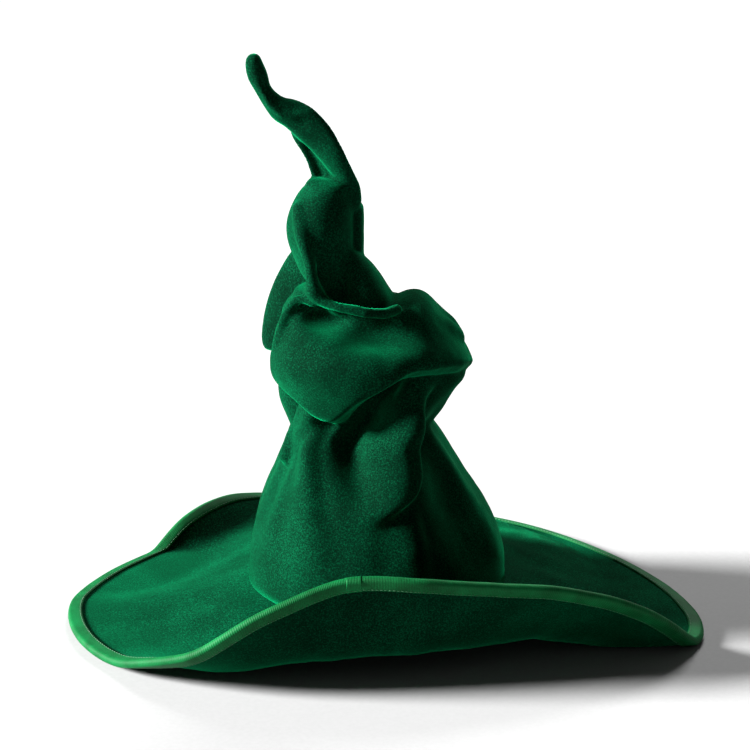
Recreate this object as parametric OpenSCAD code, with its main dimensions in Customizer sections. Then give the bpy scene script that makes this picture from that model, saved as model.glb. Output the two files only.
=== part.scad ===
// Crumpled velvet witch hat with a wired, ribbon-bound brim.
// Millimetres. The origin is the centre of the head opening, level with the
// sweatband's lower edge. +Z is up, the hat's front faces -Y.

/* [Head opening] */
// Inside radius of the sweatband, which is 58 cm round
head_r = 92; // [90:0.5:92]
// Height of the sweatband
band_h = 30; // [24:1:34]
// Thickness of the sweatband ribbon
band_t = 1; // [0.8:0.1:1.1]

/* [Cloth] */
// Thickness of the velvet
velvet_t = 1.2; // [1:0.1:1.2]
// Thickness of the stiffening felt inside the brim
felt_t = 2; // [1.6:0.1:2]
// Thickness of the interlining that stiffens the crown
interlining_t = 1; // [0.8:0.1:1]
// Thickness of the satin lining
lining_t = 0.4; // [0.3:0.1:0.5]
// Clearance left between two layers of cloth
gap = 0.15; // [0.1:0.01:0.2]

/* [Brim] */
// Width of the brim as a share of its usual width
brim_scale = 1; // [0.9:0.01:1.1]
// Height of the brim's inner edge above the table
seat_h = 20; // [20:0.5:23]
// Thickness of the binding ribbon
binding_t = 0.7; // [0.5:0.1:0.8]
// Radius of the wire in the brim's edge
brim_wire_r = 0.8; // [0.6:0.1:0.9]

/* [Crown] */
// Depth of the crown's folds, as a share of their usual depth
fold_size = 1; // [0:0.1:1.4]
// Radius of the wire that holds the peak in its crooked shape
peak_wire_r = 1.2; // [1:0.1:1.5]

/* [Hidden] */

// Colours
velvet_green = [0.0, 0.22, 0.11];
ribbon_green = [0.02, 0.42, 0.16];
lining_green = [0.01, 0.16, 0.09];
felt_green = [0.05, 0.2, 0.12];
steel = [0.62, 0.63, 0.65];
fibre_white = [0.9, 0.9, 0.87];

// ---------- Curves through a list of stations ----------

// Cubic from p1 to p2, which it leaves and meets at rates m1 and m2, for t from 0 to 1
function cubic(p1, p2, m1, m2, t) =
    let (t2 = t * t, t3 = t2 * t)
    (2 * t3 - 3 * t2 + 1) * p1 + (t3 - 2 * t2 + t) * m1
    + (-2 * t3 + 3 * t2) * p2 + (t3 - t2) * m2;

function smooth(t) = let (u = max(0, min(1, t))) u * u * (3 - 2 * u);

// Keeps what lies on the table from reaching below it: level, then rising
function on_table(u, soft = 3) =
    u > soft ? u : u < -soft ? 0 : (u + soft) * (u + soft) / (4 * soft);

// A closed surface through loops of points: each loop closes on itself, and the
// last loop joins the first. A quad's diagonal starts at its corner nearer the
// middle, so the walls of neighbouring layers are split alike.
module ring_solid(loops) {
    m = len(loops);
    n = len(loops[0]);
    polyhedron(
        points = [for (loop = loops) each loop],
        faces = [
            for (i = [0 : m - 1], k = [0 : n - 1])
                let (
                    j = (i + 1) % m, a = i * n + k, b = i * n + (k + 1) % n,
                    c = j * n + (k + 1) % n, d = j * n + k
                )
                each outer(loops[j][k]) > outer(loops[i][k])
                    ? [[a, b, c], [a, c, d]] : [[a, b, d], [b, c, d]]
        ]
    );
}

function outer(p) = p[0] * p[0] + p[1] * p[1];

// The same for a sleeve round the crown's own line: its first loops run down the
// inside, and the rest, from number first_up, climb the outside
module ring_solid_along(loops, first_up) {
    m = len(loops);
    n = len(loops[0]);
    polyhedron(
        points = [for (loop = loops) each loop],
        faces = [
            for (i = [0 : m - 1], k = [0 : n - 1])
                let (
                    j = (i + 1) % m, a = i * n + k, b = i * n + (k + 1) % n,
                    c = j * n + (k + 1) % n, d = j * n + k
                )
                each i < first_up ? [[a, d, b], [b, d, c]] : [[a, c, b], [a, d, c]]
        ]
    );
}

// A closed tube through rings of points, with flat ends
module tube_solid(rings) {
    sides = len(rings[0]);
    last = (len(rings) - 1) * sides;
    polyhedron(
        points = [for (ring = rings) each ring],
        faces = concat(
            [for (j = [1 : sides - 2]) [0, j, j + 1]],
            [for (j = [1 : sides - 2]) [last, last + j + 1, last + j]],
            [for (i = [0 : len(rings) - 2], j = [0 : sides - 1])
                let (a = i * sides + j, b = i * sides + (j + 1) % sides)
                each [[a, a + sides, b + sides], [a, b + sides, b]]]
        )
    );
}

// ---------- Brim ----------

// The brim's section at each azimuth: [azimuth, height of the inner edge above
// the table, slope at the inner edge, slope at the outer edge, where the bend
// between the two is centred, how long the bend is, width of the brim].
// Azimuth 0 is +X and 270 is the front.
brim_stations = [
    [0, 25, -13, 4, 110, 70, 140],
    [15, 25, -13, -26, 100, 80, 127],
    [35, 26, -10, -44, 94, 70, 117],
    [60, 27, -8, -46, 90, 60, 117],
    [85, 28, -7, -36, 90, 60, 120],
    [108, 28, -9, -2, 85, 60, 120],
    [126, 28, -13, 31, 80, 52, 115],
    [140, 27, -17, 46, 84, 44, 114],
    [152, 27, -22, 26, 96, 44, 118],
    [166, 26, -20, 8, 102, 50, 128],
    [182, 25, -12, -2, 90, 60, 137],
    [200, 25, -14, 2, 90, 80, 137],
    [215, 25, -15, 4, 80, 80, 130],
    [230, 24, -15, 35, 84, 60, 125],
    [245, 24, -13, 63, 66, 50, 123],
    [262, 24, -11, 76, 51, 44, 119],
    [280, 25, -9, 72, 48, 44, 115],
    [300, 25, -9, 64, 49, 46, 111],
    [317, 25, -11, 49, 58, 56, 122],
    [330, 25, -15, 36, 84, 60, 144],
    [342, 25, -18, 17, 114, 60, 158],
    [350, 25, -15, 14, 120, 60, 153]
];
brim_count = len(brim_stations);
brim_sides = 60;
side_turn = 360 / brim_sides;
fine_steps = 30;
flange_ring = 28;
under_ring = 25;
brim_rings = [0, 4, 8, 12, 15, 18, 21, under_ring, flange_ring, fine_steps];
margin = 3.2;
brim_in_r = head_r + band_t + 2 * gap;
seam_r = brim_in_r + margin;
sandwich = felt_t / 2 + gap + velvet_t;
binding_in = sandwich + 2 * gap;
binding_out = binding_in + binding_t;
floor_z = -seat_h;
rest_z = floor_z + binding_out;

function station(i) =
    brim_stations[(i + brim_count) % brim_count]
    + [360 * floor(i / brim_count), 0, 0, 0, 0, 0, 0];

// The section's values at an azimuth, on a smooth closed curve through the stations
function brim_at(az) =
    let (
        i = len([for (s = brim_stations) if (s[0] <= az) s]) - 1,
        p0 = station(i - 1), p1 = station(i), p2 = station(i + 1), p3 = station(i + 2),
        span = p2[0] - p1[0],
        m1 = (p2 - p0) * span / (p2[0] - p0[0]),
        m2 = (p3 - p1) * span / (p3[0] - p1[0])
    )
    cubic(p1, p2, m1, m2, (az - p1[0]) / span);

function slope_at(c, s) =
    c[2] + (c[3] - c[2]) * smooth((s - c[4] + c[5] / 2) / c[5]);

// [radius, height, slope] along the brim's mid-surface, from the seam outwards
function section(az) =
    let (c = brim_at(az), length = c[6] / fine_steps, step = length * brim_scale)
    [for (
        i = 0, r = seam_r, z = floor_z + c[1], a = slope_at(c, 0);
        i <= fine_steps;
        a = slope_at(c, (i + 0.5) * length),
        r = r + step * cos(a),
        z = z + step * sin(a),
        i = i + 1
    ) [r, rest_z + on_table(z - rest_z), a]];

sections = [for (k = [0 : brim_sides - 1]) section(side_turn * k)];

function polar(r, az, z) = [r * cos(az), r * sin(az), z];

// A point of side k: t beyond fine ring i along the brim, n above its mid-surface
function brim_point(k, i, t, n) =
    let (s = sections[k % brim_sides][i])
    polar(s[0] + t * cos(s[2]) - n * sin(s[2]), side_turn * k,
        s[1] + t * sin(s[2]) + n * cos(s[2]));

// The same at the flat margin inside the seam
function margin_point(k, n) = polar(brim_in_r, side_turn * k, sections[k][0][1] + n);

// Height of the brim's mid-surface at the seam, for any azimuth
function seam_z(az) = floor_z + brim_at((az + 360) % 360)[1];

// One layer of the brim between two heights above its mid-surface
module brim_layer(low, high) {
    sides = [0 : brim_sides - 1];
    ring_solid([
        [for (k = sides) margin_point(k, low)],
        for (i = brim_rings) [for (k = sides) brim_point(k, i, 0, low)],
        for (j = [len(brim_rings) - 1 : -1 : 0])
            [for (k = sides) brim_point(k, brim_rings[j], 0, high)],
        [for (k = sides) margin_point(k, high)]
    ]);
}

// A round cord that runs round the hat through one point on each side
module brim_cord(path, r, sides) {
    ring_solid([
        for (j = [sides - 1 : -1 : 0])
            let (a = 360 * j / sides)
            [for (k = [0 : brim_sides - 1])
                path[k] + r * polar(cos(a), side_turn * k, sin(a))]
    ]);
}

module brim_top_velvet() {
    color(velvet_green) brim_layer(felt_t / 2 + gap, sandwich);
}

module brim_felt() {
    color(felt_green) brim_layer(-felt_t / 2, felt_t / 2);
}

module brim_under_velvet() {
    color(velvet_green) brim_layer(-sandwich, -felt_t / 2 - gap);
}

sleeve_r = brim_wire_r + 0.25;
wire_t = sleeve_r + gap;
fold_t = 2 * sleeve_r + 0.9;
wire_path = [for (k = [0 : brim_sides - 1]) brim_point(k, fine_steps, wire_t, 0)];

// A ribbon folded over the brim's edge, from n_in to n_out off the mid-surface:
// [fine ring, distance past it, height above the mid-surface]
function ribbon_profile(n_in, n_out, extra) = [
    [flange_ring, 0, n_out], [fine_steps, 0.5, n_out],
    [fine_steps, fold_t + n_out - binding_in + extra, 0],
    [fine_steps, 0.5, -n_out], [flange_ring, 0, -n_out],
    [flange_ring, 0, -n_in], [fine_steps, 0.2, -n_in],
    [fine_steps, fold_t + n_in - binding_in + extra, 0],
    [fine_steps, 0.2, n_in], [flange_ring, 0, n_in]
];

// Ribbon that binds the edge, folded over the wire
module brim_binding() {
    color(ribbon_green) ring_solid([
        for (p = ribbon_profile(binding_in, binding_out, 0))
            [for (k = [0 : brim_sides - 1]) brim_point(k, p[0], p[1], p[2])]
    ]);
}

thread_r = 0.25;
thread_gap = 0.2;
lap_in = binding_out + 2 * (thread_r + thread_gap);
lap_side = 44;
lap_from = 0.2;
lap_to = 0.7;

// A place between two neighbouring sides, f of the way from k to the next
function between(k, f, i, t, n) =
    (1 - f) * brim_point(k, i, t, n) + f * brim_point(k + 1, i, t, n);

// The ribbon's turned-under end, which laps over its beginning and its stitches
module binding_lap() {
    profile = ribbon_profile(lap_in, lap_in + binding_t, 0.3);
    m = len(profile);
    ends = [lap_from, lap_to];
    color(ribbon_green) polyhedron(
        points = [for (f = ends, p = profile) between(lap_side, f, p[0], p[1], p[2])],
        faces = concat(
            [for (i = [0 : m - 1]) each [
                [i, i + m, (i + 1) % m + m], [i, (i + 1) % m + m, (i + 1) % m]
            ]],
            [for (i = [0 : 3]) each [
                [i, i + 1, m - 2 - i], [i, m - 2 - i, m - 1 - i]
            ]],
            [for (i = [0 : 3]) each [
                [m + i, 2 * m - 2 - i, m + i + 1], [m + i, 2 * m - 1 - i, 2 * m - 2 - i]
            ]]
        )
    );
}

// Topstitching on the binding, close to its inner edge
module binding_top_thread() {
    f = 0.15;
    n = binding_out + thread_r + thread_gap;
    path = [for (k = [0 : brim_sides - 1])
        (1 - f) * brim_point(k, flange_ring, 0, n) + f * brim_point(k, fine_steps, 0.5, n)];
    color(ribbon_green) brim_cord(path, thread_r, 4);
}

// The same stitches underneath, sunk beside the binding's edge
module binding_under_thread() {
    f = 0.06;
    n = -sandwich - thread_r - thread_gap - 0.15;
    path = [for (k = [0 : brim_sides - 1])
        f * brim_point(k, under_ring, 0, n) + (1 - f) * brim_point(k, flange_ring, 0, n)];
    color(ribbon_green) brim_cord(path, thread_r, 4);
}

module brim_wire() {
    color(steel) brim_cord(wire_path, brim_wire_r, 5);
}

// Crimped sleeve over the wire's two ends, at the back of the brim
module brim_wire_sleeve() {
    side = 16;
    length = 12;
    a = wire_path[side];
    b = wire_path[side + 1];
    along = b - a;
    color(steel) translate((a + b) / 2)
        rotate([0, acos(along[2] / norm(along)), atan2(along[1], along[0])])
            difference() {
                cylinder(h = length, r = sleeve_r, center = true, $fn = 32);
                cylinder(h = length + 2, r = brim_wire_r + 0.05, center = true, $fn = 32);
            }
}

// ---------- Crown ----------

// The crown's line: [x, y, height above the table, half width, half depth]
crown_stations = [
    [0, 0, 28, 97.6, 97.6],
    [0, 0, 50, 96.8, 96.8],
    [-1, 0, 74, 91.5, 91.5],
    [-4, 0, 104, 77, 78],
    [-9, 0, 143, 54, 60],
    [-10, -2, 166, 62, 62],
    [-7, -4, 192, 71, 66],
    [-8, -3, 220, 68, 62],
    [-17, 1, 242, 53, 50],
    [-30, 4, 261, 34, 40],
    [-36, 3, 281, 28, 34],
    [-38, 0, 298, 29, 31],
    [-35, -1, 318, 25, 26],
    [-32, 0, 336, 16, 17],
    [-34, 2, 350, 14, 14],
    [-43, 2, 366, 16, 13],
    [-56, 0, 380, 14, 12],
    [-70, -1, 392, 11, 10],
    [-82, -1, 403, 8, 9],
    [-88, 0, 416, 7.5, 8],
    [-90, 0, 425, 5, 5]
];
crown_last = len(crown_stations) - 1;
crown_sides = 36;
crown_azimuths = [for (k = [0 : crown_sides - 1]) 360 * k / crown_sides];
up = [0, 0, 1];
deep = [0, 1, 0];

// Where folds push the crown outwards: [station, azimuth, height, length in
// stations, width in degrees]
crown_lobes = [
    [6.1, 356, 4, 0.4, 14],
    [7.2, 150, 10, 0.9, 24],
    [7.8, 215, 5, 0.6, 30],
    [7.9, 330, 5, 0.6, 26],
    [11.5, 40, 3, 0.8, 20]
];

function crown_station(i) = crown_stations[max(0, min(crown_last, i))];

// [x, y, z, half width, half depth] at v stations along the crown
function crown_at(v) =
    let (
        i = min(floor(v), crown_last - 1),
        p0 = crown_station(i - 1), p1 = crown_station(i),
        p2 = crown_station(i + 1), p3 = crown_station(i + 2)
    )
    cubic(p1, p2, (p2 - p0) / 2, (p3 - p1) / 2, v - i);

function centre(v) = let (c = crown_at(v)) [c[0], c[1], c[2] - seat_h];
function unit(p) = p / norm(p);

// The way the crown runs. It leaves the head opening straight up.
function heading(v) =
    let (d = centre(min(v + 0.1, crown_last)) - centre(max(v - 0.1, 0)))
    unit(smooth(v - 1) * unit(d) + (1 - smooth(v - 1)) * up);

function turn_between(a, b) = abs((a - b + 540) % 360 - 180);

// How far the folds stand out: lengthwise ones that wind round the crown, and lobes.
// They fade out towards the head opening.
function folds(v, a, r) =
    let (flutes = 0.6 * sin(3 * a + 70 * v) + 0.4 * sin(5 * a - 50 * v))
    fold_size * (0.05 * r * smooth((v - 1.2) / 2) * flutes
        + fold_lobes(v, a, len(crown_lobes) - 1));

function fold_lobes(v, a, i) =
    i < 0 ? 0 :
    let (b = crown_lobes[i])
    fold_lobes(v, a, i - 1)
    + b[2] * exp(-pow((v - b[0]) / b[3], 2) - pow(turn_between(a, b[1]) / b[4], 2));

// A point on the crown at v, azimuth a, off inside its outer surface
function crown_point(v, a, off) =
    let (
        c = crown_at(v), h = heading(v), side = unit(cross(deep, h)),
        far = cross(h, side), f = folds(v, a, min(c[3], c[4])) - off,
        sag = (1 - smooth(v)) * (seam_z(a) - seam_z(0))
    )
    centre(v) + side * (c[3] + f) * cos(a) + far * (c[4] + f) * sin(a) + up * sag;

// A cap of cloth, of stations vs: loops up the outside, over the top and down
// the inside. Quads are split alike on both sides.
module crown_shell(vs, out, in, top_out, top_in) {
    n = crown_sides;
    m = len(vs);
    loops = concat(
        [for (v = vs) [for (a = crown_azimuths) crown_point(v, a, out)]],
        [for (j = [m - 1 : -1 : 0]) [for (a = crown_azimuths) crown_point(vs[j], a, in)]]
    );
    points = concat([for (loop = loops) each loop], [top_out, top_in]);
    tip = len(points) - 2;
    polyhedron(
        points = points,
        faces = concat(
            [for (i = [0 : 2 * m - 1], k = [0 : n - 1])
                if (i != m - 1)
                    let (
                        j = (i + 1) % (2 * m), a = i * n + k, b = i * n + (k + 1) % n,
                        c = j * n + (k + 1) % n, d = j * n + k
                    )
                    each i < m ? [[a, c, b], [a, d, c]] : [[a, d, b], [b, d, c]]],
            [for (k = [0 : n - 1]) [(m - 1) * n + k, tip, (m - 1) * n + (k + 1) % n]],
            [for (k = [0 : n - 1]) [m * n + k, m * n + (k + 1) % n, tip + 1]]
        )
    );
}

interlining_out = velvet_t + gap;
interlining_in = interlining_out + interlining_t;
lining_out = interlining_in + gap;
lining_in = lining_out + lining_t;
interlining_top_v = 12;
lining_top_v = 3.5;

// Stations of the crown's rings, up to v: closer together over the head opening
function rings_to(v) =
    [for (i = [0 : 2 * crown_last]) if (i / 2 <= v && (i < 8 || i % 2 == 0)) i / 2];

module crown_velvet() {
    tip = centre(crown_last);
    color(velvet_green) crown_shell(rings_to(crown_last), 0, velvet_t,
        tip + [-1, 0, 4], tip + [-0.5, 0, 2]);
}

// Open at its top, where the peak's wire leaves it
module crown_interlining() {
    vs = rings_to(interlining_top_v);
    color(felt_green) ring_solid_along(concat(
        [for (j = [len(vs) - 1 : -1 : 0])
            [for (a = crown_azimuths) crown_point(vs[j], a, interlining_in)]],
        [for (v = vs) [for (a = crown_azimuths) crown_point(v, a, interlining_out)]]
    ), len(vs));
}

module crown_lining() {
    top = centre(lining_top_v);
    color(lining_green) crown_shell(rings_to(lining_top_v), lining_out, lining_in,
        top + [0, 0, 5], top + [0, 0, 5 - lining_t]);
}

// Thread in the seam that closes the crown's cone, up its back
module crown_back_seam() {
    r = 0.3;
    sides = 5;
    seam_az = 90;
    vs = [for (v = rings_to(interlining_top_v)) if (v > 0) v];
    rings = [for (v = vs)
        let (
            p = crown_point(v, seam_az, -r - 0.15), h = heading(v),
            side = unit(cross(deep, h)), far = cross(h, side)
        )
        [for (j = [0 : sides - 1])
            let (a = 360 * j / sides)
            p + r * (side * cos(a) + far * sin(a))]];
    color(lining_green) tube_solid(rings);
}

// Thread that sews the crown to the brim, lying in the corner between them
module crown_join_thread() {
    r = 0.45;
    corner_r = crown_stations[0][3] + r + 0.3;
    path = [for (k = [0 : brim_sides - 1])
        polar(corner_r, side_turn * k, seam_z(side_turn * k) + sandwich + r + 0.3)];
    color(lining_green) brim_cord(path, r, 5);
}

// ---------- Inside the head opening ----------

module sweatband() {
    color(ribbon_green) difference() {
        cylinder(h = band_h, r = head_r + band_t, $fn = 128);
        translate([0, 0, -1]) cylinder(h = band_h + 2, r = head_r, $fn = 128);
    }
}

// Overlocking along the band's top edge
module sweatband_thread() {
    r = 0.25;
    color(lining_green) translate([0, 0, band_h + r + 0.05])
        rotate_extrude($fn = 128) translate([head_r + band_t / 2, 0]) circle(r = r, $fn = 16);
}

// Blank woven label, sewn to the lining above the band at the back
module size_label() {
    half_w = 12;
    label_h = 14;
    label_t = 0.4;
    low = crown_point(1.3, 90, lining_in + 1.2);
    high = crown_point(1.8, 90, lining_in + 1.2);
    lean = atan2(low[1] - high[1], high[2] - low[2]);
    color(fibre_white) translate(low) rotate([lean, 0, 0])
        translate([-half_w, -label_t - 0.4, 0]) cube([2 * half_w, label_t, label_h]);
}

// ---------- What holds the peak up ----------

wire_from_v = 5.5;
wire_to_v = 19.5;
fill_share = 0.78;
fill_sides = 16;

// Points round the crown's middle line at v, at radii a and b
function round_line(v, a, b, sides) =
    let (h = heading(v), side = unit(cross(deep, h)), far = cross(h, side))
    [for (j = [0 : sides - 1])
        centre(v) + side * a * cos(360 * j / sides) + far * b * sin(360 * j / sides)];

// Soft iron wire along the middle of the peak
module peak_wire() {
    vs = [for (v = [wire_from_v : 0.5 : wire_to_v]) v];
    color(steel) tube_solid([for (v = vs) round_line(v, peak_wire_r, peak_wire_r, 6)]);
}

// Polyester fibre that fills the folds above the lining, round the wire
module peak_fill() {
    hole_r = peak_wire_r + 0.5;
    inner = [for (v = [11.5 : -0.5 : 4.5]) round_line(v, hole_r, hole_r, fill_sides)];
    outer = [for (v = concat(4.5, [for (i = [5 : 11]) i], 11.5))
        let (c = crown_at(v)) round_line(v, fill_share * c[3], fill_share * c[4], fill_sides)];
    color(fibre_white) ring_solid_along(concat(inner, outer), len(inner));
}

// Hand stitches over the folds: [station, azimuth] of each
tacks = [[4, 200], [4, 330], [6, 0], [8, 60], [10, 170], [13, 20]];

module fold_tacks() {
    r = 0.35;
    half_turn = 3;
    color(lining_green) for (t = tacks) {
        a = crown_point(t[0], t[1] - half_turn, -r - 0.3);
        b = crown_point(t[0], t[1] + half_turn, -r - 0.3);
        along = b - a;
        translate((a + b) / 2)
            rotate([0, acos(along[2] / norm(along)), atan2(along[1], along[0])])
                cylinder(h = norm(along), r = r, center = true, $fn = 16);
    }
}

crown_velvet();
crown_interlining();
crown_lining();
crown_back_seam();
crown_join_thread();
sweatband();
sweatband_thread();
size_label();
brim_top_velvet();
brim_felt();
brim_under_velvet();
brim_binding();
binding_lap();
binding_top_thread();
binding_under_thread();
brim_wire();
brim_wire_sleeve();
peak_wire();
peak_fill();
fold_tacks();
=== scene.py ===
"""Velvet witch hat with a crooked, gathered crown and a wired, ribbon-bound brim.

Shapes are worked out in millimetres above the table, and go into the row frame in
metres. Azimuth 0 is +X and 270 is the hat's front.
"""

import contextlib
import math

import bmesh
import bpy
import numpy as np
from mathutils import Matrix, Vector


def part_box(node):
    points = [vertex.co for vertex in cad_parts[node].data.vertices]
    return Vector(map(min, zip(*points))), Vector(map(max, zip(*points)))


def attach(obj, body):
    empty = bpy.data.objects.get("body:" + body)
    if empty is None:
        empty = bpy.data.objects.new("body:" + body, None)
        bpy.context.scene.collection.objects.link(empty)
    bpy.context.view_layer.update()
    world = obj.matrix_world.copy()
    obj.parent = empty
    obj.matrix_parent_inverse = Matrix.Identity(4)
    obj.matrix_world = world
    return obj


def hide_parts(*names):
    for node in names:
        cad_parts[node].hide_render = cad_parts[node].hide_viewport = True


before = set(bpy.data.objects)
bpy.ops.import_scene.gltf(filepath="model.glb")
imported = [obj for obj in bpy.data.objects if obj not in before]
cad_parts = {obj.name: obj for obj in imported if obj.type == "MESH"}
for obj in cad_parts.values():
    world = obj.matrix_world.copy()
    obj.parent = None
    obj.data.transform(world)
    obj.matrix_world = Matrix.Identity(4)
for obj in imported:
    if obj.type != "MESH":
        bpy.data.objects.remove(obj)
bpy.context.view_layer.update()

import openvdb
from mathutils import Vector

SEAT = 20.0          # the head opening's height above the table
HEAD_R = 92.0        # inner radius of the sweatband
BAND_T = 1.0         # the sweatband's thickness and height
BAND_H = 30.0
GAP = 0.15           # between the brim's layers
VELVET_T = 1.2
FELT_T = 2.0
BINDING_T = 0.7
SANDWICH = FELT_T / 2 + GAP + VELVET_T
BINDING_IN = SANDWICH + 2 * GAP
BINDING_OUT = BINDING_IN + BINDING_T
BRIM_IN_R = HEAD_R + BAND_T + 2 * GAP
SEAM_R = BRIM_IN_R + 3.2
BRIM_STEPS = 60
FLANGE = BRIM_STEPS - 3      # step where the binding's inner edge lies
STITCH_ROW = BRIM_STEPS - 2.4
EDGE_ROOM = 0.5      # from the brim's edge to the middle of the binding's fold
FOLD_REACH = 3.0     # how far the fold stands out from there
WIRE_R = 0.8
RIBS_A_STEP = 2.0    # the ribbon's ribs for each side of the brim

CROWN_CUT_Z = 34.0   # where the closed crown is opened, above its foot
CROWN_FOOT_R = 98.2
CROWN_JOIN_R = 97.4
INTERLINING_IN = 1.7     # depths inside the crown's surface
LINING_IN = 3.0
LINING_FACE = 3.6
FILL_IN = 4.2
FILL_LOW = 172.0
FILL_HIGH = 312.0


# ---- meshes

def to_row(points):
    """Millimetres above the table to metres in the row frame."""
    out = np.array(points, float)
    out[..., 2] -= SEAT
    return out / 1000.0


def linked(name, data):
    """A new object in the scene."""
    made = bpy.data.objects.new(name, data)
    bpy.context.collection.objects.link(made)
    return made


def new_object(name, points, faces):
    """A smooth-shaded mesh from points in mm above the table."""
    mesh = bpy.data.meshes.new(name)
    mesh.from_pydata([tuple(p) for p in to_row(points)], [], [tuple(f) for f in faces])
    mesh.validate()
    mesh.polygons.foreach_set("use_smooth", [True] * len(mesh.polygons))
    mesh.update()
    return linked(name, mesh)


def finish_piece(piece, material, node):
    """Dresses a piece, fixes it to the hat and lets it stand for its CAD node."""
    piece.data.materials.clear()
    piece.data.materials.append(material)
    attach(piece, "root")
    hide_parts(node)


def grid_faces(rows, count, rows_close=True, row_closes=True, start=0):
    """Quads between neighbouring rows of count points. rows_close joins the last row to
    the first, and row_closes the end of each row to its start."""
    faces = []
    for i in range(rows if rows_close else rows - 1):
        a, b = start + i * count, start + (i + 1) % rows * count
        for k in range(count if row_closes else count - 1):
            n = (k + 1) % count
            faces.append((a + k, a + n, b + n, b + k))
    return faces


def ring_object(name, loops):
    """A solid ring from loops of points that go round the hat."""
    count = len(loops[0])
    return new_object(name, np.concatenate(loops), grid_faces(len(loops), count))


def mark_along(piece, count, step=1.0):
    """Gives a ring of count points a loop a coordinate that grows round the hat."""
    layer = piece.data.uv_layers.new(name="along")
    for face in piece.data.polygons:
        places = [v % count for v in face.vertices]
        wraps = max(places) - min(places) > 1
        for corner, place in zip(face.loop_indices, places):
            layer.data[corner].uv = (step * (count if wraps and place == 0 else place), 0.0)
    return piece


@contextlib.contextmanager
def editing(piece):
    """Lends a piece's mesh as a bmesh and writes it back."""
    bm = bmesh.new()
    bm.from_mesh(piece.data)
    yield bm
    bm.to_mesh(piece.data)
    bm.free()


def outward(piece):
    """Turns a closed piece's faces outwards."""
    with editing(piece) as bm:
        bmesh.ops.recalc_face_normals(bm, faces=bm.faces)
    return piece


def smooth_outward(bm):
    """Smooth faces, all turned outwards."""
    bmesh.ops.recalc_face_normals(bm, faces=bm.faces)
    for face in bm.faces:
        face.smooth = True


def slice_off(bm, height, above=False):
    """Takes off what lies below a height, or what lies above it."""
    everything = list(bm.verts) + list(bm.edges) + list(bm.faces)
    bmesh.ops.bisect_plane(bm, geom=everything, plane_co=(0, 0, (height - SEAT) / 1000),
                           plane_no=(0, 0, 1), clear_outer=above, clear_inner=not above)


def unit(vectors):
    return vectors / np.linalg.norm(vectors, axis=-1, keepdims=True)


def across(ahead):
    """The level and the upright unit vectors across the ways that a path goes."""
    ahead = unit(ahead)
    side = unit(np.cross(ahead, [0, 0, 1.0]))
    return side, np.cross(side, ahead)


def circle(count):
    """Angles spread evenly round a circle."""
    return np.arange(count) * 2 * math.pi / count


def waves(points, length, seed, octaves=2):
    """Smooth noise of about -1 to 1 that varies over the given length in mm."""
    points = np.asarray(points, float)
    rng = np.random.RandomState(seed)
    total = np.zeros(points.shape[:-1])
    size = 0.0
    for octave in range(octaves):
        for _ in range(7):
            way = rng.normal(size=3)
            way *= 2 * math.pi / (length * 0.6 ** octave) / np.linalg.norm(way)
            way *= rng.uniform(0.6, 1.3)
            total += 0.55 ** octave * np.sin(points @ way + rng.uniform(0, 2 * math.pi))
        size += 0.55 ** octave * 2.6
    return total / size


def smoothstep(t):
    """From 0 to 1 with a level start and end."""
    t = np.clip(t, 0.0, 1.0)
    return t * t * (3 - 2 * t)


def on_curve(stations, at, period=None):
    """Smooth values through stations whose first column is the place on the curve."""
    table = np.array(stations, float)
    if period:
        turn = np.eye(1, table.shape[1]) * period
        table = np.concatenate([table[-2:] - turn, table, table[:3] + turn])
        at = np.mod(at, period)
    else:
        table = np.concatenate([[2 * table[0] - table[1]], table, [2 * table[-1] - table[-2]]])
    at = np.asarray(at, float)
    place = table[:, 0]
    i = np.clip(np.searchsorted(place, at, side="right") - 1, 1, len(place) - 3)
    p0, p1, p2, p3 = table[i - 1], table[i], table[i + 1], table[i + 2]
    span = (p2 - p1)[..., :1]
    m1 = (p2 - p0) * span / (p2 - p0)[..., :1]
    m2 = (p3 - p1) * span / (p3 - p1)[..., :1]
    t = ((at - p1[..., 0]) / span[..., 0])[..., None]
    t = np.clip(t, 0, 1)
    t2, t3 = t * t, t * t * t
    value = (2 * t3 - 3 * t2 + 1) * p1 + (t3 - 2 * t2 + t) * m1
    value += (3 * t2 - 2 * t3) * p2 + (t3 - t2) * m2
    return value[..., 1:]


# ---- the brim's shape

# [azimuth, height of the inner edge, slope there, slope at the outer edge, where the
# bend between the two is centred, how long the bend is, width of the brim]
BRIM = [
    (0, 25, -13, 4, 110, 70, 140), (15, 25, -13, -26, 100, 80, 127),
    (35, 26, -10, -44, 94, 70, 117), (60, 27, -8, -46, 90, 60, 117),
    (85, 28, -7, -36, 90, 60, 120), (108, 28, -9, -2, 85, 60, 120),
    (126, 28, -13, 31, 80, 52, 115), (140, 27, -17, 46, 84, 44, 114),
    (152, 27, -22, 26, 96, 44, 118), (166, 26, -20, 8, 102, 50, 128),
    (182, 25, -12, -2, 90, 60, 137), (200, 25, -14, 2, 90, 80, 137),
    (215, 25, -15, 4, 80, 80, 130), (230, 24, -15, 35, 84, 60, 125),
    (245, 24, -13, 63, 66, 50, 123), (262, 24, -11, 76, 51, 44, 119),
    (280, 25, -9, 72, 48, 44, 115), (300, 25, -9, 64, 49, 46, 111),
    (317, 25, -11, 49, 58, 56, 122), (330, 25, -15, 36, 84, 60, 144),
    (342, 25, -18, 17, 114, 60, 158), (350, 25, -15, 14, 120, 60, 153),
]
REST_Z = BINDING_OUT


def on_table(height, soft=3.0):
    """Keeps a height from going below the table, with a soft turn."""
    middle = (height + soft) ** 2 / (4 * soft)
    return np.where(height > soft, height, np.where(height < -soft, 0.0, middle))


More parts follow.
